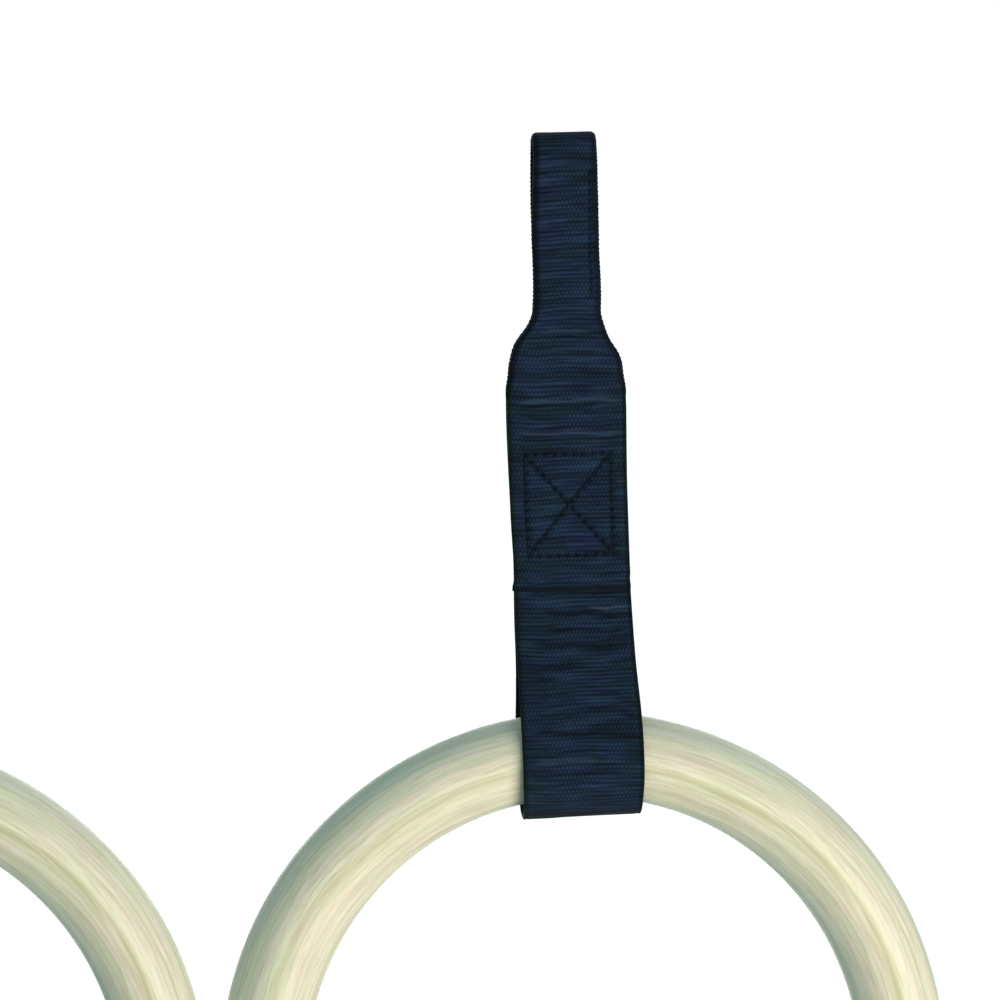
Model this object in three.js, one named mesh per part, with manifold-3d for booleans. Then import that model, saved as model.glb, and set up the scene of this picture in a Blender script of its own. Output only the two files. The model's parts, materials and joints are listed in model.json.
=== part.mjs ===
// A pair of wooden gymnastics rings, each on its own webbing strap.
// Millimetres, +Z up, X from the left ring to the right one, -Y towards the viewer.
// The origin is midway between the two hanging loops, level with the face of each loop that
// bears on its hook. Each ring stands in the XZ plane, below its strap.

import * as THREE from 'three';
import { mergeVertices } from 'three/addons/utils/BufferGeometryUtils.js';
import Module from 'manifold-3d';

const wasm = await Module();
wasm.setup();

// ---- driving dimensions ----

const tubeDiameter = 28;
const ringOpening = 180;
const ringSpacing = 239.4;
const ringSegments = 56;
const tubeSegments = 16;

const webbingWidth = 38;
const webbingThickness = 1.6;
const foldedWidth = 20.5;
const pieceGap = 0.3;

const hookDiameter = 10;
const neckLevel = -52;
const flareStartLevel = -56;
const flareEndLevel = -79;
const upperBendLevel = -83.5;
const innerEndLevel = -84.8;
const cutEndLevel = -143.9;
const lowerBendLevel = -145;
const tubeCentreLevel = -197.3;

const bendRange = THREE.MathUtils.degToRad(60);
const loopInnerRadius = 15.2;
const loopSlack = 2.5;

const stitchBoxWidth = 27.5;
const stitchBoxHeight = 32.4;
const stitchBoxLevel = -116.1;
const threadWidth = 0.8;
const threadHeight = 0.5;
const foldSeamInset = 2.6;
const foldSeamTop = -9;
const foldSeamBottom = -49;

// ---- worked-out dimensions ----

const tubeRadius = tubeDiameter / 2;
const ringRadius = (ringOpening + tubeDiameter) / 2;
const halfGap = pieceGap / 2;
const foldedThickness = 2 * webbingThickness + pieceGap;
const layerPitch = webbingThickness + pieceGap;

// Each layer of the strap is named by the Y of its middle. The two layers of the loop that
// carries the ring lie either side of Y = 0, and the hanging loop's end laps over them in front.
const backLayer = layerPitch / 2;
const innerLayer = -layerPitch / 2;
const outerLayer = innerLayer - layerPitch;
const foldedLayer = (foldedThickness + pieceGap) / 2;
const upperBendY = (outerLayer + backLayer) / 2;
const lowerBendY = 0;

// The arch of the hanging loop has an odd number of steps, so that its middle one is a flat
// face, and that face is level with the origin.
const legSteps = 8;
const archSteps = 9;
const loopSteps = 2 * legSteps + archSteps;
const archRadius = (hookDiameter + foldedThickness) / 2;
const archCentreLevel = -hookDiameter / 2 * Math.cos(Math.PI / archSteps / 2);

// ---- materials ----

const wood = { color: 0xd9cfa6, roughness: 0.5, metalness: 0 };
const webbing = { color: 0x1d2c42, roughness: 0.85, metalness: 0 };
const thread = { color: 0x121c2b, roughness: 0.7, metalness: 0 };

// ---- helpers ----

const alongX = new THREE.Matrix4().makeBasis(
  new THREE.Vector3(0, 1, 0), new THREE.Vector3(0, 0, 1), new THREE.Vector3(1, 0, 0));
const alongY = new THREE.Matrix4().makeBasis(
  new THREE.Vector3(1, 0, 0), new THREE.Vector3(0, 0, 1), new THREE.Vector3(0, -1, 0));

function point(a, b) {
  return new THREE.Vector2(a, b);
}

// A side profile, drawn in Y and Z, given a width in X about the strap's middle.
function profileSolid(points, width, middleX = 0) {
  const shape = new THREE.Shape(points);
  const geometry = new THREE.ExtrudeGeometry(shape, { depth: width, bevelEnabled: false });
  geometry.translate(0, 0, middleX - width / 2);
  return geometry.applyMatrix4(alongX);
}

// A front outline, drawn in X and Z, given a depth in Y about Y = 0.
function outlineSolid(shape, depth) {
  const geometry = new THREE.ExtrudeGeometry(shape, { depth, bevelEnabled: false, curveSegments: 10 });
  geometry.translate(0, 0, -depth / 2);
  return geometry.applyMatrix4(alongY);
}

function toManifold(geometry) {
  const bare = geometry.clone();
  bare.deleteAttribute('normal');
  bare.deleteAttribute('uv');
  const merged = mergeVertices(bare, 1e-4);
  return new wasm.Manifold(new wasm.Mesh({
    numProp: 3,
    vertProperties: new Float32Array(merged.attributes.position.array),
    triVerts: new Uint32Array(merged.index.array),
  }));
}

function toGeometry(solid) {
  const mesh = solid.getMesh();
  const geometry = new THREE.BufferGeometry();
  geometry.setAttribute('position', new THREE.BufferAttribute(mesh.vertProperties, mesh.numProp));
  geometry.setIndex(new THREE.BufferAttribute(mesh.triVerts, 1));
  geometry.computeVertexNormals();
  return geometry;
}

// The closed outline of a band of even thickness that follows a line of points.
function band(line, thickness) {
  const sideAt = (i, sign) => {
    const before = line[Math.max(i - 1, 0)];
    const after = line[Math.min(i + 1, line.length - 1)];
    const along = point(after.x - before.x, after.y - before.y).normalize();
    return point(line[i].x - sign * along.y * thickness / 2, line[i].y + sign * along.x * thickness / 2);
  };
  const left = line.map((_, i) => sideAt(i, 1));
  const right = line.map((_, i) => sideAt(i, -1));
  return [...left, ...right.reverse()];
}

// How far a layer's end stands back from a bend's axis at a given Y, so that the two bodies
// that meet there close like a V at the end of the bend's range.
function bendClearance(y, bendY) {
  return halfGap + Math.abs(y - bendY) * Math.tan(bendRange / 2);
}

// A flat layer of full-width webbing between two levels, its ends cut back by the given amounts.
function layerSolid(layerY, top, bottom, topCut, bottomCut) {
  const front = layerY - webbingThickness / 2;
  const back = layerY + webbingThickness / 2;
  const points = [
    point(front, top - topCut(front)),
    point(front, bottom + bottomCut(front)),
    point(back, bottom + bottomCut(back)),
    point(back, top - topCut(back)),
  ];
  return profileSolid(points, webbingWidth);
}

const square = () => 0;
const atUpperBend = (y) => bendClearance(y, upperBendY);
const atLowerBend = (y) => bendClearance(y, lowerBendY);

// ---- the hanging loop ----

// The middle line of the front leg of the hanging loop, from the neck up to the round top,
// offset outwards by a given distance.
function legPoint(level, offset) {
  const opened = THREE.MathUtils.smoothstep(level, neckLevel + 4, archCentreLevel);
  return point(-THREE.MathUtils.lerp(foldedLayer, archRadius, opened) - offset, level);
}

// Up the front leg, over the arch and down the back leg, in even steps along each.
class LoopPath extends THREE.Curve {
  getPoint(t) {
    const step = Math.min(t, 1 - t) * loopSteps;
    const front = t <= 0.5 ? 1 : -1;
    if (step < legSteps) {
      const level = THREE.MathUtils.lerp(neckLevel + halfGap, archCentreLevel, step / legSteps);
      const p = legPoint(level, 0);
      return new THREE.Vector3(0, front * p.x, p.y);
    }
    const angle = Math.PI * (step - legSteps) / archSteps;
    const reach = -archRadius * Math.cos(angle);
    return new THREE.Vector3(0, front * reach, archCentreLevel + archRadius * Math.sin(angle));
  }

  getUtoTmapping(u) {
    return u;
  }
}

// Webbing with both edges folded in behind it, so that the selvages meet down the middle. It is
// drawn with the way out of the loop first and the way across the webbing second.
function foldedSection() {
  const edgeSteps = 4;
  const outside = foldedThickness / 2;
  const bend = foldedWidth / 2 - outside;
  const seam = pieceGap;
  const fold = (side) => {
    const points = [];
    for (let i = 0; i <= edgeSteps; i += 1) {
      const angle = Math.PI * i / edgeSteps;
      points.push(point(-outside * Math.cos(angle), side * (bend + outside * Math.sin(angle))));
    }
    return points;
  };
  return new THREE.Shape([
    point(-outside, seam),
    ...fold(1),
    ...fold(-1).reverse(),
    point(-outside, -seam),
    point(-halfGap, -seam),
    point(-halfGap, -bend),
    point(halfGap, -bend),
    point(halfGap, bend),
    point(-halfGap, bend),
    point(-halfGap, seam),
  ]);
}

function hangingLoop() {
  return new THREE.ExtrudeGeometry(foldedSection(), { steps: loopSteps, extrudePath: new LoopPath() });
}

// The row of thread that holds the fold shut, down one edge of one leg.
function foldSeam(side) {
  const steps = 8;
  const offset = foldedThickness / 2 + pieceGap + threadHeight / 2;
  const line = [];
  for (let i = 0; i <= steps; i += 1) {
    const p = legPoint(THREE.MathUtils.lerp(foldSeamBottom, foldSeamTop, i / steps), offset);
    line.push(point(-side * p.x, p.y));
  }
  const outline = band(line, threadHeight);
  return profileSolid(outline, threadWidth, foldedWidth / 2 - foldSeamInset);
}

// ---- the shoulder, where the fold opens out to the webbing's full width ----

function shoulderOutline(top, bottom) {
  const narrow = foldedWidth / 2;
  const wide = webbingWidth / 2;
  const middle = (flareStartLevel + flareEndLevel) / 2;
  const shape = new THREE.Shape();
  shape.moveTo(-narrow, top);
  shape.lineTo(-narrow, flareStartLevel);
  shape.bezierCurveTo(-narrow, middle, -wide, middle, -wide, flareEndLevel);
  shape.lineTo(-wide, bottom);
  shape.lineTo(wide, bottom);
  shape.lineTo(wide, flareEndLevel);
  shape.bezierCurveTo(wide, middle, narrow, middle, narrow, flareStartLevel);
  shape.lineTo(narrow, top);
  shape.closePath();
  return shape;
}

// side is -1 for the front layer and 1 for the back one.
function shoulder(side) {
  const top = neckLevel - halfGap;
  const layerY = side < 0 ? outerLayer : backLayer;
  const near = layerY - side * webbingThickness / 2;
  const far = layerY + side * webbingThickness / 2;
  const profile = profileSolid([
    point(side * halfGap, top),
    point(near, upperBendLevel + atUpperBend(near)),
    point(far, upperBendLevel + atUpperBend(far)),
    point(side * (halfGap + foldedThickness), top),
  ], 2 * webbingWidth);
  const outline = outlineSolid(shoulderOutline(top, lowerBendLevel), webbingWidth);
  return toGeometry(toManifold(profile).intersect(toManifold(outline)));
}

// ---- the stitched overlap ----

function overlapOuter() {
  return layerSolid(outerLayer, upperBendLevel, cutEndLevel, atUpperBend, square);
}

function overlapInner() {
  return layerSolid(innerLayer, innerEndLevel, lowerBendLevel, square, atLowerBend);
}

function overlapBack() {
  return layerSolid(backLayer, upperBendLevel, lowerBendLevel, atUpperBend, atLowerBend);
}

function threadBar(length, middleX, middleZ, tilt) {
  const bar = new THREE.BoxGeometry(length, threadHeight, threadWidth);
  bar.rotateY(tilt);
  bar.translate(middleX, 0, middleZ);
  return toManifold(bar);
}

// A rectangle of thread with its two diagonals, standing on one face of the overlap.
function boxStitch(faceY, side) {
  const diagonal = Math.hypot(stitchBoxWidth, stitchBoxHeight);
  const tilt = Math.atan2(stitchBoxHeight, stitchBoxWidth);
  const rowLength = stitchBoxWidth + threadWidth;
  const columnLength = stitchBoxHeight + threadWidth;
  const bars = [
    threadBar(rowLength, 0, stitchBoxHeight / 2, 0),
    threadBar(rowLength, 0, -stitchBoxHeight / 2, 0),
    threadBar(columnLength, stitchBoxWidth / 2, 0, Math.PI / 2),
    threadBar(columnLength, -stitchBoxWidth / 2, 0, Math.PI / 2),
    threadBar(diagonal, 0, 0, tilt),
    threadBar(diagonal, 0, 0, -tilt),
  ];
  const pattern = toGeometry(bars.reduce((joined, bar) => joined.add(bar)));
  const standOff = webbingThickness / 2 + pieceGap + threadHeight / 2;
  return pattern.translate(0, faceY + side * standOff, stitchBoxLevel);
}

// ---- the loop that carries the ring, and the ring ----

// Down the front leg, round under the ring's tube, and up the back leg.
function ringStrap() {
  const arcSteps = 16;
  const radius = loopInnerRadius + webbingThickness / 2;
  const centreLevel = tubeCentreLevel - loopSlack;
  const legHeight = lowerBendLevel - centreLevel;
  const reach = Math.hypot(innerLayer, legHeight);
  const lean = Math.asin((radius + innerLayer) / reach);
  const start = Math.PI - lean;
  const sweep = Math.PI + 2 * lean;
  const line = [];
  for (let i = 0; i <= arcSteps; i += 1) {
    const angle = start + sweep * i / arcSteps;
    line.push(point(radius * Math.cos(angle), centreLevel + radius * Math.sin(angle)));
  }
  const [left, right] = [innerLayer, backLayer];
  const half = webbingThickness / 2;
  const outline = band([point(left, lowerBendLevel), ...line, point(right, lowerBendLevel)], webbingThickness);
  const turns = line.length + 2;
  outline[0] = point(left + half, lowerBendLevel - atLowerBend(left + half));
  outline[turns - 1] = point(right - half, lowerBendLevel - atLowerBend(right - half));
  outline[turns] = point(right + half, lowerBendLevel - atLowerBend(right + half));
  outline[outline.length - 1] = point(left - half, lowerBendLevel - atLowerBend(left - half));
  return profileSolid(outline, webbingWidth);
}

function woodenRing() {
  const geometry = new THREE.TorusGeometry(ringRadius, tubeRadius, tubeSegments, ringSegments);
  geometry.rotateX(Math.PI / 2);
  return geometry.translate(0, 0, tubeCentreLevel - ringRadius);
}

// ---- the pair ----

function ringOnStrap(side, middleX) {
  const group = new THREE.Group();
  const pieces = [
    ['hanging_loop', hangingLoop(), webbing],
    ['fold_seam_front', foldSeam(-1), thread],
    ['fold_seam_back', foldSeam(1), thread],
    ['shoulder_front', shoulder(-1), webbing],
    ['shoulder_back', shoulder(1), webbing],
    ['overlap_outer', overlapOuter(), webbing],
    ['overlap_inner', overlapInner(), webbing],
    ['overlap_back', overlapBack(), webbing],
    ['box_stitch_front', boxStitch(outerLayer, -1), thread],
    ['box_stitch_back', boxStitch(backLayer, 1), thread],
    ['ring_strap', ringStrap(), webbing],
    ['wooden_ring', woodenRing(), wood],
  ];
  for (const [name, geometry, finish] of pieces) {
    const mesh = new THREE.Mesh(geometry, new THREE.MeshStandardMaterial(finish));
    mesh.name = `${side}_${name}`;
    group.add(mesh);
  }
  group.position.x = middleX;
  return group;
}

const rings = new THREE.Group();
rings.add(ringOnStrap('left', -ringSpacing / 2));
rings.add(ringOnStrap('right', ringSpacing / 2));

export default rings;
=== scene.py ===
"""The looks of a pair of wooden gymnastics rings, each hanging on its own webbing strap.

Each strap is one length of flat webbing. It starts hidden inside the stitched overlap, goes
down and round under the ring, comes back up behind, folds its edges in, turns over the hook,
opens out again in front and ends at a cut end below the box of stitches. Sizes here are in
millimetres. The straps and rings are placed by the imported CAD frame. A level is a height from
the face that bears on the hook, so it is below 0.
"""

import json
import math

import bpy
import numpy as np
from mathutils import Matrix, Vector


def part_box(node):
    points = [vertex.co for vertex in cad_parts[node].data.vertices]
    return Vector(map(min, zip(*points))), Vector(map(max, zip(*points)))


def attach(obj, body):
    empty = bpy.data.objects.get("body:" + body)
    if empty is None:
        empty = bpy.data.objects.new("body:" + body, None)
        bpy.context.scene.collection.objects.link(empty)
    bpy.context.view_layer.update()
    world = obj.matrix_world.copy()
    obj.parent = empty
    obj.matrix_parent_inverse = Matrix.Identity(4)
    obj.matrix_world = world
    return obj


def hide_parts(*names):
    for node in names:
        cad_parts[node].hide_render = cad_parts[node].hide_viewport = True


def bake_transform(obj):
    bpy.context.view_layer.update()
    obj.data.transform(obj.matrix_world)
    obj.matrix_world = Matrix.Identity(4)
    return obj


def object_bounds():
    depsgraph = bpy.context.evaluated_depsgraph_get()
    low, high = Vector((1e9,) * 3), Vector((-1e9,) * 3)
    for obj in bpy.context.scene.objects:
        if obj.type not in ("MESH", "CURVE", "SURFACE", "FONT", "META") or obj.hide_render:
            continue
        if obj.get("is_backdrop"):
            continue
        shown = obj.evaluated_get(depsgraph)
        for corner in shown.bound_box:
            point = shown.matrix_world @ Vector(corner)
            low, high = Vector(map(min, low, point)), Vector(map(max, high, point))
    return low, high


MM = 0.001
SIDES = ("left", "right")

# ---- webbing ----
RIB_PITCH = 1.4
ROWS_PER_RIB = 4
RIB_HEIGHT = 0.08
RIB_BOW = 0.55
RIB_SLANT = 0.022
YARN_WIDTH = 0.62
FOLD_RADIUS = 0.95
SELVAGE_ROUNDING = 0.6
SELVAGE_INSET = 1.4
SELVAGE_GROOVE = 0.14
SEALED_SPREAD = 0.35
SEALED_SHIFT = -0.45
SAMPLES_ACROSS = 27
LEFT_WEAVE_SHIFT = 700
BACK_CREASE_SHARE = 0.4
RAGGED_END = 3
RAGGED_WAVES = ((13, 0.25, 0.6), (5.3, 0.14, 2.2), (2.9, 0.07, 0.3))

# ---- levels where the strap changes, and its shape there ----
NECK = -52
NECK_HALF_WIDTH = 10.9
NECK_SPLIT = -62
FLARE = ((0.88, NECK - 1.2, -71.7), (0.12, -66, -83))
LAYERS_MEET = -80
UNROLL_START = -74
UNROLL_END = -87
LEGS_PART = -137
LEG_STIFFNESS = (13, 26)
CRADLE_SLACK = 0.8
CRADLE_TILT = 0.022
RIDGE_SINK = 0.75
CUT_END_LIFT = 0.45

# ---- the strap's middle line ----
LINE_STEP = 0.1
LINE_SMOOTHING = 15

# ---- levels for the twist, and distances from the bends ----
TWIST_TOP = -14
TWIST_BOTTOM = NECK_SPLIT + 3
UPPER_BEND_REACH = 8
LOWER_BEND_ABOVE = 4.5
LOWER_BEND_BELOW = 15

# ---- creases in the cloth: (level, slope, height, width, from, to) ----
# From and to are distances across the strap. A height above 0 is a ridge, and below 0 a groove.
DEEP_CREASE = 0.4
CREASES = (
    (-60.4, 0.02, 0.22, 0.5, -9, 10),
    (-61.9, 0.02, -0.24, 0.6, -5, 11),
    (-82.8, 0.01, 0.28, 0.6, -17, 19),
    (-84.3, 0, -0.32, 0.6, -18, 12),
    (-93.2, -0.02, 0.2, 0.6, -18, 19),
    (-94.7, -0.02, -0.22, 0.7, -18, 19),
    (-149.7, 0, 0.34, 0.5, 3, 20),
    (-151.3, -0.07, -0.34, 0.7, -12, 16),
    (-156.3, -0.05, -0.24, 0.8, -12, 18),
    (-161.6, -0.02, -0.30, 0.8, -15, 20),
    (-168, 0.06, -0.16, 1.2, -18, 9),
    (-172, -0.5, -0.22, 1.0, 8, 20),
    (-175.4, -0.55, -0.22, 0.9, 9, 20),
    (-189.2, -0.06, -0.34, 0.9, -17, 20),
    (-197.4, -0.02, 0.16, 0.9, -16, 6),
    (-201.6, -0.03, -0.24, 0.8, -18, 14),
)

# ---- thread ----
THREAD_RADIUS = 0.34
STITCH_PITCH = 2.9
STITCH_GAP = 0.9
THREAD_BAR = 0.8
THREAD_PULL = 0.12
HOLE_PULL = 0.55
PULL_WIDTH = 0.8
SEAM_SHARE = 0.5
THREAD_ABOVE_PULL = 0.1
THREAD_DIP = 0.42
THREAD_THIN_END = 0.72
STITCH_RINGS = 9
STITCH_SIDES = 8

# ---- the wooden rings. The bands are distances from the ring's middle ----
RING_STEPS = 288
TUBE_STEPS = 72
TUBE_INSET = 0.17
OVAL_BANDS = 3.6
BANDS_FROM = 90
BANDS_TO = 120
DARK_LINE = 104
GROWTH_PITCH = 1.8
# Each is (share of the way from BANDS_FROM to BANDS_TO, colour), set beside read-outs of
# the photo's average colour across the tube, and once all scaled by 0.9.
WOOD_BANDS = (
    (0.03, (0.70, 0.69, 0.54)),
    (0.11, (0.81, 0.77, 0.63)),
    (0.145, (0.67, 0.67, 0.52)),
    (0.18, (0.81, 0.75, 0.60)),
    (0.26, (0.71, 0.68, 0.51)),
    (0.36, (0.83, 0.77, 0.59)),
    (0.44, (0.72, 0.68, 0.47)),
    (0.49, (0.72, 0.68, 0.46)),
    (0.54, (0.85, 0.82, 0.60)),
    (0.63, (0.85, 0.78, 0.63)),
    (0.71, (0.72, 0.68, 0.53)),
    (0.80, (0.79, 0.77, 0.60)),
    (0.90, (0.72, 0.73, 0.61)),
)

# ---- colours ----
WHITE = (1, 1, 1, 1)
NAVY_DARK = (0.0016, 0.0045, 0.0104)
NAVY_MIDDLE = (0.0058, 0.0157, 0.0395)
NAVY_LIGHT = (0.0172, 0.0370, 0.0840)
# Next: a painted highlight on crease ridges.
NAVY_RIDGE_HIGHLIGHT = (0.042, 0.070, 0.115, 1)
# Next: the cut end painted dark, partly its fused edge and partly painted shadow under it.
NAVY_FUSED_END_AND_SHADOW = (0.0010, 0.0034, 0.0056, 1)
THREAD_DARK = (0.0040, 0.0095, 0.0220)
THREAD_LIGHT = (0.0130, 0.0270, 0.0560)
GREEN_TINT = (0.82, 1.0, 0.76, 1)
VIOLET_TINT = (1.0, 0.84, 0.98, 1)
SIDE_TINT = (0.76, 0.87, 0.74, 1)
# Next: painted shade along the selvages.
SELVAGE_SHADE_TINT = (0.34, 0.40, 0.27, 1)
# Next: painted shade in stitch dents, round folded edges, in crease grooves and under the ring.
SHADED_TINT = (0.16, 0.20, 0.22, 1)
WOOD_DARK_LINE = (0.57, 0.55, 0.32, 1)
WOOD_GROWTH = (0.55, 0.52, 0.34, 1)
WOOD_FINE_GRAIN = (0.58, 0.55, 0.36, 1)
WOOD_PALE = (0.87, 0.80, 0.63, 1)
WOOD_FLECK = (0.52, 0.49, 0.33, 1)
PINK_BLOTCH = (1.0, 0.945, 0.965, 1)
GREEN_BLOTCH = (0.945, 1.0, 0.935, 1)
FLOOR_DARK = (0.90, 0.90, 0.90)
FLOOR_LIGHT = (0.94, 0.94, 0.94)

# ---- the picture. A light is (name, azimuth, elevation, strength, colour) ----
PICTURE_WIDTH = 321.6
CAMERA_DISTANCE = 2000
CAMERA_AZIMUTH = -3.5
CAMERA_ELEVATION = 4.5
CAMERA_ROLL = -1.3
CAMERA_REACH = 100000
AIM_FROM_RING = (-22.95, 187)
FLOOR_DROP = 900
FLOOR_REACH = 4e4
FLOOR_GLOW = 0.75
LIGHT_DISTANCE = 1900
LIGHT_SIZE = 1500
LIGHTS = (
    ("key", 38, -14, 3.3, (1.0, 0.87, 0.78)),
    ("rim_light", 160, 30, 0.8, (1.0, 0.93, 0.86)),
    ("back_light", 180, -5, 2.2, (1.0, 0.89, 0.80)),
)
SURROUNDINGS_COLOUR = (0.68, 0.97, 1.0, 1)
SURROUNDINGS_STRENGTH = 0.42


# ---- small helpers ----


def smoothstep(start, end, value):
    share = np.clip((value - start) / (end - start), 0, 1)
    return share * share * (3 - 2 * share)


def mix(a, b, share):
    return a + (b - a) * share


def hump(value, middle, width):
    """A soft bump, 1 high at its middle."""
    return np.exp(-(((value - middle) / width) ** 2))


def wander(value, *waves):
    """A slow, even wobble: a sum of sine waves, each (length, height, phase)."""
    return sum(
        height * np.sin(2 * math.pi * value / length + phase) for length, height, phase in waves
    )


def corners(node):
    """A CAD node's lowest and highest corners, in millimetres."""
    low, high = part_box(node)
    return np.array(low) / MM, np.array(high) / MM


def new_object(name, points, faces, smooth=None):
    """A mesh object from points in millimetres. smooth says which faces are shaded smooth."""
    mesh = bpy.data.meshes.new(name)
    mesh.from_pydata((np.asarray(points) * MM).tolist(), [], faces)
    mesh.polygons.foreach_set("use_smooth", [True] * len(faces) if smooth is None else smooth)
    piece = bpy.data.objects.new(name, mesh)
    bpy.context.scene.collection.objects.link(piece)
    return piece


def add_map(piece, name, values):
    """Stores two numbers for each point as a map that the materials read."""
    layer = piece.data.uv_layers.new(name=name)
    corner_points = np.empty(len(piece.data.loops), np.int32)
    piece.data.loops.foreach_get("vertex_index", corner_points)
    layer.data.foreach_set("uv", np.asarray(values, np.float32)[corner_points].ravel())


# ---- the strap's middle line ----


class Strap:
    """One strap, in millimetres: where its parts are in the frame, and its middle line."""

    def __init__(self, side, joints):
        self.side = side
        outer = corners(f"{side}_overlap_outer")
        inner = corners(f"{side}_overlap_inner")
        back = corners(f"{side}_overlap_back")
        loop = corners(f"{side}_hanging_loop")
        cradle = corners(f"{side}_ring_strap")
        self.x = (outer[0][0] + outer[1][0]) / 2
        self.half_width = (outer[1][0] - outer[0][0]) / 2
        self.half_thickness = (outer[1][1] - outer[0][1]) / 2
        self.outer_y, self.inner_y, self.back_y = (
            (low[1] + high[1]) / 2 for low, high in (outer, inner, back)
        )
        self.inner_end = inner[1][2]
        self.cut_end = outer[0][2]
        self.folded_half_width = (loop[1][0] - loop[0][0]) / 2
        self.arch_radius = loop[1][1] - self.half_thickness
        self.arch_level = loop[1][2] - loop[1][1]
        self.cradle_radius = cradle[1][1] - self.half_thickness
        self.cradle_level = cradle[0][2] + cradle[1][1] - CRADLE_SLACK
        self.twist_level, self.upper_bend, self.lower_bend = (
            joints[f"{side}_{name}"]["pos_m"][2] / MM
            for name in ("strap_twist", "upper_bend", "lower_bend")
        )
        self.shift = 0 if side == "right" else LEFT_WEAVE_SHIFT
        self.lean = self.leg_lean()
        self.follow_middle_line()

    def follow_middle_line(self):
        """The (y, z) line from the hidden end to the cut end, and each point's way along it."""
        line = np.concatenate([
            self.front_of_cradle(),
            self.under_ring(),
            self.front_of_cradle()[::-1] * (-1, 1),
            self.back_of_loop(),
            self.over_hook(),
            self.front_of_loop(),
        ])
        steps = np.hypot(*np.diff(line, axis=0).T)
        line = line[np.concatenate([[True], steps > 1e-6])]
        steps = np.hypot(*np.diff(line, axis=0).T)
        raw = np.concatenate([[0], np.cumsum(steps)])
        self.s = np.arange(0, raw[-1], LINE_STEP)
        y, z = (np.interp(self.s, raw, line[:, i]) for i in (0, 1))
        window = np.hanning(2 * LINE_SMOOTHING + 1)
        window = window / window.sum()
        padded = [np.pad(v, LINE_SMOOTHING, "reflect", reflect_type="odd") for v in (y, z)]
        self.y, self.z = (np.convolve(v, window, "valid") for v in padded)
        slope = np.hypot(np.gradient(self.y), np.gradient(self.z))
        self.ty, self.tz = np.gradient(self.y) / slope, np.gradient(self.z) / slope
        self.bottom = self.s[np.argmin(self.z)]
        self.top = self.s[np.argmax(self.z)]
        self.start = self.along_at("hidden", self.inner_end)
        self.end = self.along_at("front", self.cut_end)

    def leg_lean(self):
        """How far a leg leans from upright, so that it runs smoothly into the turn under the ring."""
        reach = math.hypot(self.inner_y, self.lower_bend - self.cradle_level)
        return math.asin((self.cradle_radius + self.inner_y) / reach)

    def front_of_cradle(self):
        """Down inside the overlap, and on down the front leg to where it meets the ring."""
        out = np.array([-math.cos(self.lean), math.sin(self.lean)])
        meet = self.cradle_radius * out + (0, self.cradle_level)
        top = np.array([self.inner_y, self.inner_end + 2])
        part = np.array([self.inner_y, LEGS_PART])
        along_leg = np.array([-math.sin(self.lean), -math.cos(self.lean)])
        above, below = LEG_STIFFNESS
        handles = [part, part + (0, -above), meet - along_leg * below, meet]
        t = np.linspace(0, 1, 120)[:, None]
        weights = [(1 - t) ** 3, 3 * t * (1 - t) ** 2, 3 * t**2 * (1 - t), t**3]
        curve = sum(weight * handle for weight, handle in zip(weights, handles))
        return np.concatenate([np.linspace(top, part, 200), curve])

    def under_ring(self):
        angle = np.linspace(math.pi - self.lean, 2 * math.pi + self.lean, 200)
        turn = self.cradle_radius * np.stack([np.cos(angle), np.sin(angle)], 1)
        return turn + (0, self.cradle_level)

    def loop_reach(self, level):
        """How far the hanging loop's outside layer is from its middle plane."""
        closed = -self.outer_y
        opening = smoothstep(self.twist_level + 4, self.arch_level, level)
        return mix(closed, self.arch_radius, opening)

    def back_of_loop(self):
        """Up the back of the overlap, out round the folded edges, and up the loop's back leg."""
        level = np.linspace(self.inner_end + 2, self.arch_level, 400)
        gathered = smoothstep(LAYERS_MEET, NECK_SPLIT - 3, level)
        return np.stack([mix(self.back_y, self.loop_reach(level), gathered), level], 1)

    def over_hook(self):
        angle = np.linspace(0, math.pi, 120)
        y = self.arch_radius * np.cos(angle)
        return np.stack([y, self.arch_level + self.arch_radius * np.sin(angle)], 1)

    def front_of_loop(self):
        """Down the loop's front leg, over the ridge of the hidden end, and on to the cut end."""
        level = np.linspace(self.arch_level, self.cut_end - 2, 700)
        sink = RIDGE_SINK * smoothstep(self.inner_end - 1, self.inner_end + 3, level)
        sink = sink * (1 - smoothstep(LAYERS_MEET + 6, NECK_SPLIT, level))
        lifted = CUT_END_LIFT * smoothstep(self.cut_end + 8, self.cut_end, level)
        return np.stack([sink - lifted - self.loop_reach(level), level], 1)

    def along_at(self, leg, level):
        """How far along the strap a level is: on the hidden front leg, the back or the front."""
        if leg == "hidden":
            chosen = self.s <= self.bottom
            return float(np.interp(-level, -self.z[chosen], self.s[chosen]))
        if leg == "back":
            chosen = (self.s >= self.bottom) & (self.s <= self.top)
            return float(np.interp(level, self.z[chosen], self.s[chosen]))
        chosen = self.s >= self.top
        return float(np.interp(-level, -self.z[chosen], self.s[chosen]))

    def fold_at(self, level):
        """How far from the strap's middle its edges turn in. Past the half width nothing is."""
        to_neck = smoothstep(self.arch_level, NECK, level)
        narrow = mix(self.folded_half_width, NECK_HALF_WIDTH, to_neck)
        opened = sum(share * smoothstep(top, bottom, level) for share, top, bottom in FLARE)
        wide = mix(narrow, self.half_width, opened)
        turn = FOLD_RADIUS + self.half_thickness
        return wide - turn + (turn + 0.2) * smoothstep(UNROLL_START, UNROLL_END, level)

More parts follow.
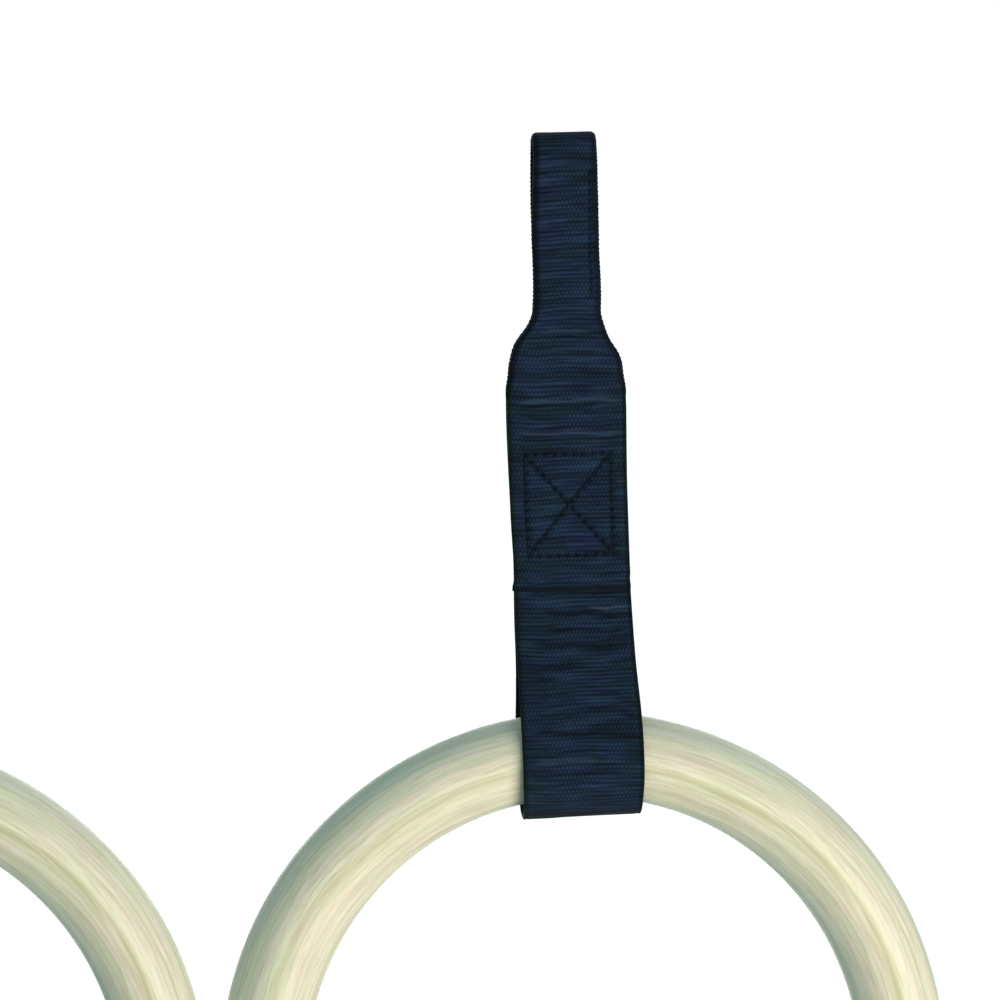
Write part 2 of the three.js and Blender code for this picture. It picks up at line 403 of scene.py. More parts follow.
    def place(self, across, along, lift):
        """The points at a distance across and along the strap, lifted off its middle surface."""
        y, z, ty, tz = (np.interp(along, self.s, v) for v in (self.y, self.z, self.ty, self.tz))
        fold = self.fold_at(z)
        side = np.sign(across)
        reach = np.abs(across)
        turn = np.clip((reach - fold) / FOLD_RADIUS, 0, math.pi)
        flap = np.maximum(reach - fold - math.pi * FOLD_RADIUS, 0)
        flat = np.minimum(reach, fold) - flap
        x = side * (flat + (FOLD_RADIUS + lift) * np.sin(turn))
        inward = FOLD_RADIUS * (1 - np.cos(turn)) - lift * np.cos(turn)
        x = x * self.fullness(z, along)
        tilt = CRADLE_TILT * x * smoothstep(LEGS_PART - 30, self.cradle_level, z)
        x = self.x + x + self.drift(z, along)
        return np.stack([x, y - inward * tz, z + tilt + inward * ty], -1)

    def fullness(self, level, along):
        """The strap's width as a share of its even width, which varies a little along it."""
        loop = 0.035 * hump(level, -21, 14)
        box = 0.012 * hump(level, self.inner_end, 14) - 0.014 * hump(level, self.cut_end + 8, 13)
        ring = 0.03 * smoothstep(LEGS_PART - 25, LEGS_PART - 55, level)
        under = 0.018 * smoothstep(self.cradle_level - 3, self.cradle_level - 14, level)
        return 1 + loop + box + ring - under + wander(along, (71, 0.003, self.shift))

    def drift(self, level, along):
        """How far the strap strays: about 1 mm left at the overlap and 1 mm right at the ring."""
        bow = smoothstep(self.cut_end, self.cradle_level, level) - 1.1 * hump(level, -92, 44)
        bow = bow + 0.45 * hump(level, -48, 11) - 0.9 * hump(level, -63.5, 4)
        return bow + wander(along, (113, 0.1, 1 + self.shift), (47, 0.07, 2.1 * self.shift))


# ---- the webbing's surface ----


def half_thickness(strap, across):
    """Half the webbing's thickness: a groove marks off the selvage, and the edge is round."""
    edge = strap.half_width - np.abs(across)
    rounded = np.clip(1 - edge / SELVAGE_ROUNDING, 0, 1)
    groove = SELVAGE_GROOVE * hump(edge, SELVAGE_INSET, 0.35)
    return (strap.half_thickness - RIB_HEIGHT) * np.sqrt(1 - rounded**2) - groove


def along_ribs(strap, across, along):
    """How far along the weave a point lies. The ribs bow and slant a little, so it isn't level."""
    bow = wander(along, (57, RIB_BOW, 2.2 + strap.shift), (23, RIB_BOW / 3, 0.7))
    slant = wander(along, (83, RIB_SLANT, 1.4 + strap.shift), (31, RIB_SLANT / 2, 0.2))
    wobble = wander(across, (31, 0.12, 0.4), (17, 0.1, 1.9))
    bowed = bow * (1 - (across / strap.half_width) ** 2)
    return along + strap.shift + bowed + slant * across + wobble


def ribs(strap, across, woven):
    """The cross ribs, which fade out at the round edge. woven is how far along the weave it is."""
    strength = 1 + wander(woven + 0.2 * across, (9.1, 0.25, 0.3), (4.6, 0.3, 1.1), (3.3, 0.2, 0.2))
    fade = smoothstep(0, SELVAGE_ROUNDING, strap.half_width - np.abs(across))
    return RIB_HEIGHT * fade * strength * np.cos(2 * math.pi * woven / RIB_PITCH)


def softness(strap, across, along, level):
    """Slow waves in the cloth, stronger in the legs that nothing holds flat."""
    free = smoothstep(strap.cut_end - 2, strap.cut_end - 20, level)
    slanted = along + 0.18 * across
    waves = wander(slanted, (4.6, 0.03, strap.shift), (11.3, 0.05, 1.3), (19.7, 0.06, 0.5))
    cross = wander(across + 0.1 * along, (26, 0.05, 0.8))
    return (0.35 + 0.65 * free) * waves + free * cross


def creases(strap, across, along, level):
    """Short creases in the front leg, and the same ones, fainter, in the back leg."""
    front = (along < strap.bottom) | (along > strap.top)
    seen_from_front = across if strap.side == "right" else -across
    height = np.zeros_like(across)
    for middle, slope, depth, width, left, right in CREASES:
        wavering = wander(across, (17, 0.25, middle), (7, 0.1, 2 * middle))
        here = middle + slope * seen_from_front + wavering
        reach = smoothstep(left, left + 5, seen_from_front)
        reach = reach * smoothstep(right, right - 5, seen_from_front)
        height = height + depth * reach * hump(level, here, width)
    return height * np.where(front, 1, BACK_CREASE_SHARE)


def painted_shading(strap, across, along, level, dent, crease):
    """How much painted shade the cloth gets in stitch dents, round folded edges, under the ring and in
    crease grooves; below 0, a painted highlight on crease ridges.
    """
    edge = np.abs(across) - strap.fold_at(level)
    # Painted shade round the folded edges.
    folded = smoothstep(-1, 0.4, edge) * smoothstep(UNROLL_END, UNROLL_START, level)
    # Painted shade on the underside, where the strap turns under the ring.
    shade_under_ring = smoothstep(12, 7, np.abs(along - strap.bottom))
    # Stitch dents and crease grooves get painted shade, and crease ridges a painted highlight.
    return 1.5 * dent / HOLE_PULL + folded + shade_under_ring - crease / DEEP_CREASE


def spread_across(strap, fold):
    """Where each row's points lie: closer together at the selvages and round a fold."""
    grid = np.linspace(0, strap.half_width, 160)
    rows = []
    for row_fold in fold:
        density = 1 + 2.4 * hump(grid, strap.half_width, 1.6)
        density = density + 1.8 * hump(grid, row_fold + 1.5, 1.8)
        share = np.concatenate([[0], np.cumsum((density[1:] + density[:-1]) / 2)])
        half = np.interp(np.linspace(0, 1, SAMPLES_ACROSS), share / share[-1], grid)
        rows.append(np.concatenate([-half[:0:-1], half]))
    return np.array(rows)


def end_shape(strap, across, along):
    """How far a cut end's rows shift along the strap, how thin they are, and how far the end is fused,
    where it is also painted dark: partly its fused edge, partly painted shadow under it.
    """
    from_start = along - strap.start
    from_end = strap.end - along
    ragged = wander(across, *RAGGED_WAVES)
    shift = ragged * (smoothstep(RAGGED_END, 0, from_end) - smoothstep(RAGGED_END, 0, from_start))
    nearest = np.minimum(from_start, from_end) + 0 * across
    thin = np.sqrt(1 - 0.6 * np.clip(1 - nearest / 0.9, 0, 1) ** 2)
    return shift, thin, smoothstep(2.1, 0.7, nearest)


def webbing_piece(name, strap, start, end):
    """A closed piece of the strap between two distances along it."""
    rows = max(2, round((end - start) * ROWS_PER_RIB / RIB_PITCH))
    along = np.linspace(start, end, rows + 1)[:, None]
    level = np.interp(along, strap.s, strap.z)
    across = spread_across(strap, strap.fold_at(level)[:, 0])
    shift, thin, fused_end_and_shadow = end_shape(strap, across, along)
    crease = creases(strap, across, along, level)
    wave = softness(strap, across, along, level) + crease
    half = half_thickness(strap, across) * thin
    woven = along_ribs(strap, across, along)
    relief = ribs(strap, across, woven) * (1 - 0.8 * fused_end_and_shadow)
    dent = stitch_dents(strap, across, along, level)
    spread = SEALED_SPREAD * smoothstep(4, 1, strap.end - along)
    placed = across * (1 + spread / strap.half_width)
    placed = placed + SEALED_SHIFT * smoothstep(6, 1, strap.end - along)
    top = strap.place(placed, along + shift, wave + half + relief - dent)
    under = strap.place(placed, along + shift, wave - half - relief)
    ring = around_webbing(top, under)
    weave = np.stack([across, woven], -1)
    # This map holds where the cut end is painted dark, partly its fused edge and partly painted shadow
    # under it, and the painted shade and highlight on the cloth.
    cut_end_and_painted_shade = np.stack([fused_end_and_shadow, painted_shading(strap, across, along, level, dent, crease)], -1)
    faces, smooth = strip_faces(rows + 1, ring.shape[1])
    piece = new_object(name, ring.reshape(-1, 3), faces, smooth)
    add_map(piece, "weave", around_webbing(weave, weave).reshape(-1, 2))
    add_map(piece, "cut_end_and_painted_shade", around_webbing(cut_end_and_painted_shade, cut_end_and_painted_shade).reshape(-1, 2))
    return piece


def around_webbing(top, under):
    """Each row's points once round the webbing: over the top, then back underneath."""
    return np.concatenate([top, under[:, -2:0:-1]], 1)


def strip_faces(rows, loop):
    """The skin between rows of points that each go round the webbing, and its two flat ends."""
    here = np.arange(rows - 1)[:, None] * loop
    turn = np.arange(loop)
    after = (turn + 1) % loop
    quads = np.stack([here + turn, here + after, here + loop + after, here + loop + turn], -1)
    skin = quads.reshape(-1, 4).tolist()
    ends = end_faces(0, loop, True) + end_faces((rows - 1) * loop, loop, False)
    return skin + ends, [True] * len(skin) + [False] * len(ends)


def end_faces(first, loop, opening):
    """A flat end, as strips from one face of the webbing to the other."""
    last = loop // 2
    faces = []
    for i in range(last):
        below = [(loop - i - 1) % loop, (loop - i) % loop]
        face = [i + 1, i] + ([below[1]] if i else []) + ([below[0]] if i < last - 1 else [])
        face = [first + point for point in face]
        faces.append(face if opening else face[::-1])
    return faces


# ---- stitching ----


def stitch_lines(strap):
    """The box of stitches and its diagonals, as pairs of (across, level) points."""
    low, high = corners(f"{strap.side}_box_stitch_front")
    half = (high[0] - low[0] - THREAD_BAR) / 2
    top = high[2] - THREAD_BAR / 2
    bottom = low[2] + THREAD_BAR / 2
    a, b, c, d = (-half, top), (half, top), (half, bottom), (-half, bottom)
    return [(a, b), (b, c), (c, d), (d, a), (a, c), (b, d)]


def fold_seam_line(strap):
    """The row of thread that holds the hanging loop's fold shut, as one (across, level) pair."""
    low, high = corners(f"{strap.side}_fold_seam_front")
    across = (low[0] + high[0]) / 2 - strap.x
    return ((across, high[2]), (across, low[2]))


def holes_along(line):
    """The needle holes along a line of stitches, evenly spaced."""
    start, end = (np.array(p, float) for p in line)
    count = max(2, round(math.dist(start, end) / STITCH_PITCH) + 1)
    return [mix(start, end, i / (count - 1)) for i in range(count)]


def stitch_dents(strap, across, along, level):
    """The thread pulls the cloth's outside down a little, and most at each needle hole."""
    outside = along > strap.bottom
    dent = np.zeros_like(across)
    lines = [(line, 1) for line in stitch_lines(strap)] + [(fold_seam_line(strap), SEAM_SHARE)]
    for line, share_of_pull in lines:
        start, end = (np.array(p, float) for p in line)
        run = end - start
        share = ((across - start[0]) * run[0] + (level - start[1]) * run[1]) / (run @ run)
        share = np.clip(share, 0, 1)
        distance = np.hypot(across - start[0] - share * run[0], level - start[1] - share * run[1])
        dent = np.maximum(dent, share_of_pull * THREAD_PULL * hump(distance, 0, PULL_WIDTH))
        for hole in holes_along(line):
            away = np.hypot(across - hole[0], level - hole[1])
            dent = np.maximum(dent, share_of_pull * HOLE_PULL * hump(away, 0, PULL_WIDTH))
    return dent * outside


def stitches(name, strap, leg, lines):
    """Rows of thread on one face of the strap, one short arched stitch from hole to hole."""
    points, faces, values = [], [], []
    for line in lines:
        holes = holes_along(line)
        for here, there in zip(holes[:-1], holes[1:]):
            add_stitch(strap, leg, here, there, points, faces, values)
    piece = new_object(name, np.array(points), faces)
    add_map(piece, "weave", values)
    return piece


def add_stitch(strap, leg, here, there, points, faces, values):
    """One stitch: a thread that comes out of a hole, lies on the cloth and goes in at the next."""
    gap = STITCH_GAP / 2 / math.dist(here, there)
    spots = [mix(here, there, t) for t in np.linspace(gap, 1 - gap, STITCH_RINGS)]
    surface = strap.half_thickness - THREAD_PULL + THREAD_ABOVE_PULL
    arch = np.sin(np.linspace(0, math.pi, STITCH_RINGS)) ** 0.5
    lift = surface - THREAD_DIP * (1 - arch)
    across = np.array([spot[0] for spot in spots])
    along = np.array([strap.along_at(leg, spot[1]) for spot in spots])
    middle = strap.place(across, along, lift)
    out = strap.place(across, along, lift + 1) - middle
    forward = np.gradient(middle, axis=0)
    sideways = np.cross(forward, out)
    sideways /= np.linalg.norm(sideways, axis=1)[:, None]
    first = len(points)
    for i in range(STITCH_RINGS):
        radius = THREAD_RADIUS * (THREAD_THIN_END + (1 - THREAD_THIN_END) * arch[i])
        for j in range(STITCH_SIDES):
            angle = 2 * math.pi * j / STITCH_SIDES
            away = math.cos(angle) * out[i] + math.sin(angle) * sideways[i]
            points.append(middle[i] + radius * away)
            values.append((j / STITCH_SIDES, i * STITCH_PITCH / STITCH_RINGS))
    for i in range(STITCH_RINGS - 1):
        for j in range(STITCH_SIDES):
            a = first + i * STITCH_SIDES + j
            b = first + i * STITCH_SIDES + (j + 1) % STITCH_SIDES
            faces.append([a, b, b + STITCH_SIDES, a + STITCH_SIDES])
    faces.append([first + j for j in reversed(range(STITCH_SIDES))])
    last = first + (STITCH_RINGS - 1) * STITCH_SIDES
    faces.append([last + j for j in range(STITCH_SIDES)])


# ---- materials ----


class Shader:
    """A material's nodes, with one short call for each."""

    def __init__(self, name):
        self.material = bpy.data.materials.new(name)
        self.material.use_nodes = True
        self.nodes = self.material.node_tree.nodes
        self.surface = self.nodes["Principled BSDF"]

    def put(self, value, socket):
        if isinstance(value, bpy.types.NodeSocket):
            self.material.node_tree.links.new(value, socket)
        else:
            socket.default_value = value

    def math(self, operation, *values):
        node = self.nodes.new("ShaderNodeMath")
        node.operation = operation
        for value, socket in zip(values, node.inputs):
            self.put(value, socket)
        return node.outputs[0]

    def split(self, vector):
        node = self.nodes.new("ShaderNodeSeparateXYZ")
        self.put(vector, node.inputs[0])
        return node.outputs

    def join(self, x=0.0, y=0.0, z=0.0):
        node = self.nodes.new("ShaderNodeCombineXYZ")
        for value, socket in zip((x, y, z), node.inputs):
            self.put(value, socket)
        return node.outputs[0]

    def noise(self, vector, w=0.0, detail=2.0, roughness=0.5):
        """Smooth noise, about one blob to each unit, between 0 and 1."""
        node = self.nodes.new("ShaderNodeTexNoise")
        node.noise_dimensions = "4D"
        self.put(vector, node.inputs["Vector"])
        self.put(w, node.inputs["W"])
        self.put(1.0, node.inputs["Scale"])
        self.put(detail, node.inputs["Detail"])
        self.put(roughness, node.inputs["Roughness"])
        return node.outputs["Fac"]

    def wave(self, value, length, phase=0.0):
        """A sine wave of the given length, between -1 and 1."""
        turns = self.math("MULTIPLY_ADD", value, 2 * math.pi / length, phase)
        return self.math("SINE", turns)

    def ramp(self, value, *stops):
        """Colours along a value, each stop (place, colour)."""
        node = self.nodes.new("ShaderNodeValToRGB")
        self.put(value, node.inputs[0])
        elements = node.color_ramp.elements
        while len(elements) < len(stops):
            elements.new(0.5)
        for element, (place, colour) in zip(elements, stops):
            element.position = place
            element.color = (*colour, 1)
        return node.outputs[0]

    def range(self, value, low, high, new_low, new_high):
        node = self.nodes.new("ShaderNodeMapRange")
        for number, socket in zip((value, low, high, new_low, new_high), node.inputs):
            self.put(number, socket)
        return node.outputs[0]

    def blend(self, share, a, b, kind="MIX"):
        node = self.nodes.new("ShaderNodeMix")
        node.data_type = "RGBA"
        node.blend_type = kind
        self.put(share, node.inputs[0])
        self.put(a, node.inputs[6])
        self.put(b, node.inputs[7])
        return node.outputs[2]

    def bump(self, height, depth, normal=None):
        """A bump whose full height is depth millimetres."""
        node = self.nodes.new("ShaderNodeBump")
        self.put(depth * MM, node.inputs["Distance"])
        self.put(height, node.inputs["Height"])
        if normal is not None:
            self.put(normal, node.inputs["Normal"])
        return node.outputs[0]

    def own_map(self, name):
        """The two numbers that add_map stored under a name."""
        node = self.nodes.new("ShaderNodeUVMap")
        node.uv_map = name
        return self.split(node.outputs[0])[:2]

    def tint(self, share, colour, by):
        """A colour multiplied by another, as far as share says."""
        return self.blend(share, colour, by, "MULTIPLY")

    def share(self, value, start, end, most=1.0):
        """0 up to start, most from end on, and evenly between."""
        return self.range(value, start, end, 0.0, most)

    def scaled(self, x, y, x_scale, y_scale):
        """A flat vector from two values, each scaled."""
        return self.join(self.math("MULTIPLY", x, x_scale), self.math("MULTIPLY", y, y_scale))

    def own_place(self):
        return self.nodes.new("ShaderNodeTexCoord").outputs["Object"]

    def finish(self, colour, roughness, normal, **constants):
        self.put(colour, self.surface.inputs["Base Color"])
        self.put(roughness, self.surface.inputs["Roughness"])
        self.put(normal, self.surface.inputs["Normal"])
        for name, value in constants.items():
            self.surface.inputs[name.replace("_", " ")].default_value = value
        return self.material


def webbing_material():
    """Ribbed navy webbing: fine yarns along it pass over and under the cross ribs."""
    shader = Shader("navy_webbing")
    across, along = shader.own_map("weave")
    # The map's two numbers: where the cut end is painted dark, and painted shade, with a painted
    # highlight below 0.
    fused_end_and_shadow, dark = shader.own_map("cut_end_and_painted_shade")
    yarns = shader.wave(across, 2 * YARN_WIDTH)
    picks = shader.wave(along, 2 * RIB_PITCH, math.pi / 2)
    over = shader.math("MULTIPLY", yarns, picks)
    crest = shader.wave(along, RIB_PITCH, math.pi / 2)
    fibre = shader.noise(shader.scaled(across, along, 2.6, 1.1), detail=3.0, roughness=0.6)
    each_rib = shader.noise(shader.scaled(across, along, 0.07, 0.75), w=5.0, detail=1.0)
    patch = shader.noise(shader.scaled(across, along, 0.1, 0.06), w=3.0)

    # Rib crests and yarn checks are painted lighter and the gaps between them darker, as painted
    # shade; the noise terms are the cloth's own uneven tone.
    strength = shader.range(patch, 0.35, 0.65, 0.06, 0.28)
    weave = shader.math("MULTIPLY", crest, strength)
    checks = shader.range(patch, 0.42, 0.6, 0.27, 0.05)
    weave = shader.math("MULTIPLY_ADD", over, checks, weave)
    weave = shader.math("MULTIPLY_ADD", fibre, 1.3, weave)
    weave = shader.math("MULTIPLY_ADD", each_rib, 1.5, weave)
    bands = shader.noise(shader.scaled(across, along, 0.03, 0.3), w=8.0)
    weave = shader.math("MULTIPLY_ADD", bands, 0.9, weave)
    colour = shader.ramp(
        shader.share(weave, 1.35, 2.35),
        (0.0, NAVY_DARK),
        (0.5, NAVY_MIDDLE),
        (1.0, NAVY_LIGHT),
    )
    cast = shader.noise(shader.scaled(across, along, 0.09, 0.16), w=9.0)
    colour = shader.tint(shader.share(cast, 0.45, 0.62), colour, GREEN_TINT)
    colour = shader.tint(shader.share(cast, 0.45, 0.34), colour, VIOLET_TINT)
    from_middle = shader.math("ABSOLUTE", across)
    uneven = shader.math("MULTIPLY_ADD", patch, 5.0, from_middle)
    colour = shader.tint(shader.share(uneven, 12.0, 21.0, 0.8), colour, SIDE_TINT)
    # Painted shade along the selvages.
    colour = shader.tint(shader.share(from_middle, 17.2, 18.2, 0.95), colour, SELVAGE_SHADE_TINT)
    # Painted shade in stitch dents, round folded edges, in crease grooves and under the ring.
    colour = shader.tint(shader.share(dark, 0.0, 1.0, 0.9), colour, SHADED_TINT)
    # A painted highlight on crease ridges.
    colour = shader.blend(shader.share(dark, 0.0, -1.0, 0.8), colour, NAVY_RIDGE_HIGHLIGHT)
    # The cut end painted near-black: partly its fused edge, partly painted shadow under it.
    fused_end_and_shadow_mix = shader.math("MULTIPLY", fused_end_and_shadow, shader.range(each_rib, 0.3, 0.6, 0.75, 1.0))
    colour = shader.blend(fused_end_and_shadow_mix, colour, NAVY_FUSED_END_AND_SHADOW)
    rough = shader.range(fibre, 0.3, 0.7, 0.76, 0.93)
    height = shader.math("MULTIPLY_ADD", fibre, 0.5, shader.math("MULTIPLY", over, 0.3))
    return shader.finish(
        colour, rough, shader.bump(height, 0.14),
        Specular_IOR_Level=0.13, Sheen_Weight=0.05, Sheen_Roughness=0.45,
    )


def thread_material():
    """Bonded sewing thread: two plies twisted together, a little shinier than the webbing."""
    shader = Shader("navy_thread")
    around, along = shader.own_map("weave")
    twist = shader.wave(shader.math("MULTIPLY_ADD", around, 1.1, along), 0.55)
    colour = shader.ramp(
        shader.math("MULTIPLY_ADD", twist, 0.5, 0.5),
        (0.0, THREAD_DARK),
        (1.0, THREAD_LIGHT),
    )
    rough = shader.range(twist, -1.0, 1.0, 0.8, 0.65)
    return shader.finish(colour, rough, shader.bump(twist, 0.06), Specular_IOR_Level=0.12)


def wood_material():
    """Pale bent wood, sanded and thinly lacquered, with soft bands of grain round the ring."""
    shader = Shader("ring_wood")
    x, y, z = shader.split(shader.own_place())
    square = shader.math("MULTIPLY", x, x)
    radius = shader.math("SQRT", shader.math("MULTIPLY_ADD", z, z, square))
    cosine = shader.math("DIVIDE", x, radius)
    sine = shader.math("DIVIDE", z, radius)
    out = shader.math("DIVIDE", radius, MM)
    depth = shader.math("DIVIDE", y, MM)

    def grain(fineness, turns, detail=3.0, roughness=0.55):
        """Noise drawn out round the ring: fineness across the grain, turns along it."""
        c, s = (shader.math("MULTIPLY", value, turns) for value in (cosine, sine))
        spot = shader.scaled(out, depth, fineness, fineness)
        vector = shader.join(*shader.split(spot)[:2], c)
        return shader.noise(vector, s, detail, roughness)

    oval = shader.math("MULTIPLY", shader.math("MULTIPLY", cosine, cosine), -OVAL_BANDS)
    wavering = shader.math("MULTIPLY_ADD", grain(0.09, 2.2), 4.0, shader.math("ADD", out, oval))
    bands = shader.math("MULTIPLY_ADD", grain(0.5, 7.0, 2.0), 1.2, wavering)
    colour = shader.ramp(shader.share(bands, BANDS_FROM, BANDS_TO), *WOOD_BANDS)
    off_line = shader.math("ABSOLUTE", shader.math("SUBTRACT", bands, DARK_LINE))
    one_side = shader.share(cosine, -0.1, 0.4)
    lined = shader.math("MULTIPLY", shader.range(off_line, 0.4, 1.3, 1.0, 0.0), one_side)
    colour = shader.blend(lined, colour, WOOD_DARK_LINE)
    growth = shader.share(shader.wave(wavering, GROWTH_PITCH), 0.35, 1.0, 0.5)
    patchy = shader.share(grain(0.16, 2.0, 1.0), 0.42, 0.6)
    colour = shader.blend(shader.math("MULTIPLY", growth, patchy), colour, WOOD_GROWTH)
    fine = grain(0.85, 3.6, 4.0, 0.62)
    colour = shader.blend(shader.share(fine, 0.46, 0.66, 0.65), colour, WOOD_FINE_GRAIN)
    pale = grain(0.5, 3.2, 4.0, 0.6)
    colour = shader.blend(shader.share(pale, 0.52, 0.68, 0.7), colour, WOOD_PALE)
    blotch = grain(0.3, 5.0, 2.0, 0.5)
    colour = shader.tint(shader.share(blotch, 0.52, 0.66), colour, PINK_BLOTCH)
    colour = shader.tint(shader.share(blotch, 0.48, 0.34), colour, GREEN_BLOTCH)
    flecks = grain(1.9, 11.0, 3.0, 0.65)
    colour = shader.blend(shader.share(flecks, 0.50, 0.70, 0.6), colour, WOOD_FLECK)
    rough = shader.range(fine, 0.3, 0.7, 0.42, 0.58)
    height = shader.math("MULTIPLY_ADD", fine, 0.5, shader.math("MULTIPLY", flecks, 0.5))
    return shader.finish(
        colour, rough, shader.bump(height, 0.06),
        Specular_IOR_Level=0.35, Coat_Weight=0.12, Coat_Roughness=0.4,
    )


def floor_material():
    """A pale, slightly mottled floor. It gives off light, so it looks as pale as what is round it."""
    shader = Shader("pale_floor")
    place = shader.own_place()
    mottle = shader.noise(place, detail=2.0)
    colour = shader.ramp(mottle, (0.3, FLOOR_DARK), (0.7, FLOOR_LIGHT))
    rough = shader.range(mottle, 0.3, 0.7, 0.85, 0.95)
    return shader.finish(
        colour, rough, shader.bump(mottle, 0.1),
        Specular_IOR_Level=0.1, Emission_Color=WHITE, Emission_Strength=FLOOR_GLOW,
    )


# ---- the pieces of one ring and its strap ----


def dress(piece, material, slot_name, *nodes):
    """Gives a piece its material and hides the CAD nodes it stands for."""
    piece.data.materials.append(material)
    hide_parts(*nodes)


def bend_between(piece, strap, upper, lower, top, bottom):
    """Bakes a piece's placement into its points; it does not bend it. Its two bodies and its levels,
    from one down to another, are not used.
    """
    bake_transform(piece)


def make_strap(strap, materials):
    """The four lengths of webbing and the thread of one strap. Only the box stitches are attached to a
    body, the overlap.
    """
    side = strap.side
    stitch_top = stitch_lines(strap)[0][0][1]
    back_split = strap.along_at("back", stitch_top)
    back_neck = strap.along_at("back", NECK_SPLIT)
    front_neck = strap.along_at("front", NECK_SPLIT)
    lengths = [
        ("ring_loop_webbing", strap.start, back_split, ("overlap_inner", "ring_strap")),
        ("back_webbing", back_split, back_neck, ("shoulder_back", "overlap_back")),
        ("hanging_webbing", back_neck, front_neck, ("hanging_loop",)),
        ("front_webbing", front_neck, strap.end, ("shoulder_front", "overlap_outer")),
    ]
    shoulder, overlap, ring_strap = (
        f"{side}_{body}" for body in ("shoulder", "overlap", "ring_strap")
    )
    twist = ("hanging_loops", shoulder, TWIST_TOP, TWIST_BOTTOM)
    upper_bend = (
        shoulder, overlap,
        strap.upper_bend + UPPER_BEND_REACH, strap.upper_bend - UPPER_BEND_REACH,
    )
    lower_bend = (
        overlap, ring_strap,
        strap.lower_bend + LOWER_BEND_ABOVE, strap.lower_bend - LOWER_BEND_BELOW,
    )
    bends = {
        "ring_loop_webbing": lower_bend,
        "back_webbing": upper_bend,
        "hanging_webbing": twist,
        "front_webbing": upper_bend,
    }
    for name, start, end, nodes in lengths:
        piece = webbing_piece(f"{side}_{name}", strap, start, end)
        dress(piece, materials["webbing"], "navy_webbing", *[f"{side}_{node}" for node in nodes])
        bend_between(piece, strap, *bends[name])
    for leg in ("front", "back"):
        box = stitches(f"{side}_box_stitches_{leg}", strap, leg, stitch_lines(strap))
        dress(box, materials["thread"], "navy_thread", f"{side}_box_stitch_{leg}")
        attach(box, overlap)
        seam = stitches(f"{side}_fold_stitches_{leg}", strap, leg, [fold_seam_line(strap)])
        dress(seam, materials["thread"], "navy_thread", f"{side}_fold_seam_{leg}")
        bend_between(seam, strap, *twist)


def make_ring(side, materials):
    """A round wooden ring, not quite perfectly even, about its own middle."""
    low, high = corners(f"{side}_wooden_ring")
    middle = (low + high) / 2
    tube = (high[1] - low[1]) / 2
    radius = (high[0] - low[0]) / 2 - tube
    turn = np.linspace(0, 2 * math.pi, RING_STEPS, endpoint=False)[:, None]
    spin = np.linspace(0, 2 * math.pi, TUBE_STEPS, endpoint=False)[None, :]
    uneven = 0.1 * np.sin(3 * turn + 0.4) + 0.07 * np.sin(5 * turn + 2 * spin) - TUBE_INSET
    thickness = tube + uneven
    reach = radius + thickness * np.cos(spin)
    points = np.stack([reach * np.cos(turn), thickness * np.sin(spin), reach * np.sin(turn)], -1)
    here = np.arange(RING_STEPS)[:, None] * TUBE_STEPS
    onward = (here + TUBE_STEPS) % (RING_STEPS * TUBE_STEPS)
    j = np.arange(TUBE_STEPS)
    after = (j + 1) % TUBE_STEPS
    quads = np.stack([here + j, here + after, onward + after, onward + j], -1).reshape(-1, 4)
    piece = new_object(f"{side}_ring_wood", points.reshape(-1, 3), quads.tolist())
    piece.location = Vector(middle) * MM
    dress(piece, materials["wood"], "ring_wood", f"{side}_wooden_ring")
    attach(piece, f"{side}_ring")


# ---- the picture ----


def direction(azimuth, elevation):
    """The way from the object to something at that azimuth and elevation."""
    a, e = math.radians(azimuth), math.radians(elevation)
    return Vector((math.sin(a) * math.cos(e), -math.cos(a) * math.cos(e), math.sin(e)))


def add_camera():
    """A camera at the photograph's angle, aimed at a point set from the right ring's middle."""
    low, high = corners("right_wooden_ring")
    ring = (low + high) / 2
    aim = Vector((ring[0] + AIM_FROM_RING[0], 0, ring[2] + AIM_FROM_RING[1])) * MM
    data = bpy.data.cameras.new("camera")
    data.lens = data.sensor_width * CAMERA_DISTANCE / PICTURE_WIDTH
    data.clip_end = CAMERA_REACH * MM
    camera = bpy.data.objects.new("camera", data)
    bpy.context.scene.collection.objects.link(camera)
    away = direction(CAMERA_AZIMUTH, CAMERA_ELEVATION)
    turned = (-away).to_track_quat("-Z", "Y").to_matrix().to_4x4()
    roll = Matrix.Rotation(math.radians(CAMERA_ROLL), 4, "Z")
    camera.matrix_world = Matrix.Translation(aim + away * CAMERA_DISTANCE * MM) @ turned @ roll
    bpy.context.scene.camera = camera


def add_softbox(name, azimuth, elevation, strength, colour):
    """A square soft light that faces the rings' middle, brighter the higher its strength."""
    low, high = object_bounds()
    data = bpy.data.lights.new(name, "AREA")
    data.size = LIGHT_SIZE * MM
    data.energy = strength * math.pi * (LIGHT_DISTANCE * MM) ** 2
    data.color = colour
    light = bpy.data.objects.new(name, data)
    away = direction(azimuth, elevation)
    light.rotation_mode = "QUATERNION"
    light.rotation_quaternion = (-away).to_track_quat("-Z", "Y")
    light.location = (low + high) / 2 + away * LIGHT_DISTANCE * MM
    light.visible_camera = False
    bpy.context.scene.collection.objects.link(light)


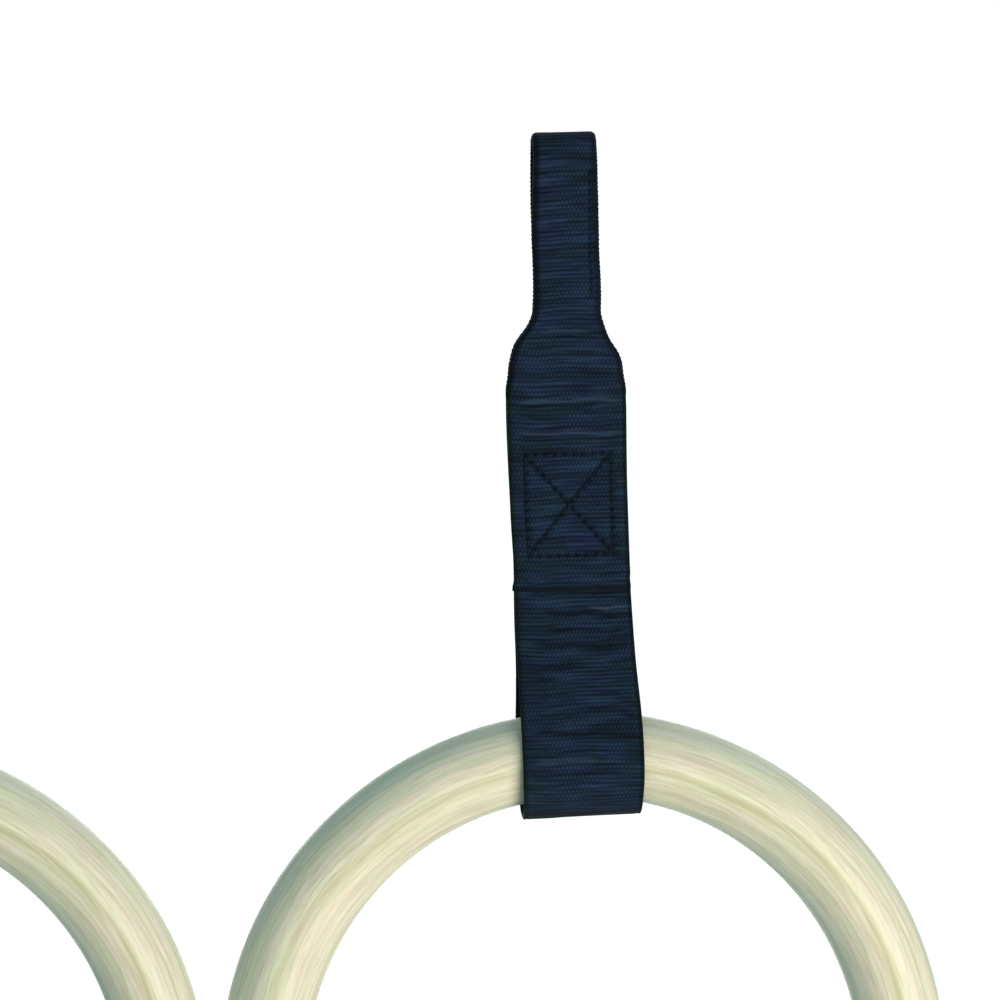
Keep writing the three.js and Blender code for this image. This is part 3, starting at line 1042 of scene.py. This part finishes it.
def add_studio():
    """A pale floor well below the rings, a soft key light, two lights behind and pale surroundings."""
    low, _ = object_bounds()
    reach = FLOOR_REACH
    floor_corners = [(-reach, -reach, 0), (reach, -reach, 0), (reach, reach, 0), (-reach, reach, 0)]
    floor = new_object("floor", floor_corners, [[0, 1, 2, 3]])
    floor.location.z = low.z - FLOOR_DROP * MM
    floor.data.materials.append(floor_material())
    floor.visible_diffuse = False
    floor.visible_glossy = False
    floor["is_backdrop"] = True
    for light in LIGHTS:
        add_softbox(*light)
    add_surroundings()


def add_surroundings():
    """White all round for the camera, and dimmer for lighting the object."""
    world = bpy.data.worlds.new("studio")
    bpy.context.scene.world = world
    world.use_nodes = True
    nodes, links = world.node_tree.nodes, world.node_tree.links
    seen = nodes["Background"]
    seen.inputs["Color"].default_value = WHITE
    lighting = nodes.new("ShaderNodeBackground")
    lighting.inputs["Color"].default_value = SURROUNDINGS_COLOUR
    lighting.inputs["Strength"].default_value = SURROUNDINGS_STRENGTH
    path = nodes.new("ShaderNodeLightPath")
    chosen = nodes.new("ShaderNodeMixShader")
    links.new(path.outputs["Is Camera Ray"], chosen.inputs[0])
    links.new(lighting.outputs[0], chosen.inputs[1])
    links.new(seen.outputs[0], chosen.inputs[2])
    links.new(chosen.outputs[0], nodes["World Output"].inputs["Surface"])
    bpy.context.scene.view_settings.view_transform = "Standard"


# ---- everything ----

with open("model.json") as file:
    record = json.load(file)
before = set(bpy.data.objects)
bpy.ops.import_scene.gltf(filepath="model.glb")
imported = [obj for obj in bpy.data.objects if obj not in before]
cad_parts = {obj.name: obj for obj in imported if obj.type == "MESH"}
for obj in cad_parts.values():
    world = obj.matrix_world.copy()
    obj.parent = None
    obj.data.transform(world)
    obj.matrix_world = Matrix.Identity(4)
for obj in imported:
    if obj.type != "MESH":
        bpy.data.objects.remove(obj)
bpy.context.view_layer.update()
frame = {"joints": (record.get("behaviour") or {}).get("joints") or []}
joints = {joint["name"]: joint for joint in frame["joints"]}
materials = {
    "webbing": webbing_material(),
    "thread": thread_material(),
    "wood": wood_material(),
}
add_camera()
add_studio()
for side in SIDES:
    make_ring(side, materials)
    make_strap(Strap(side, joints), materials)
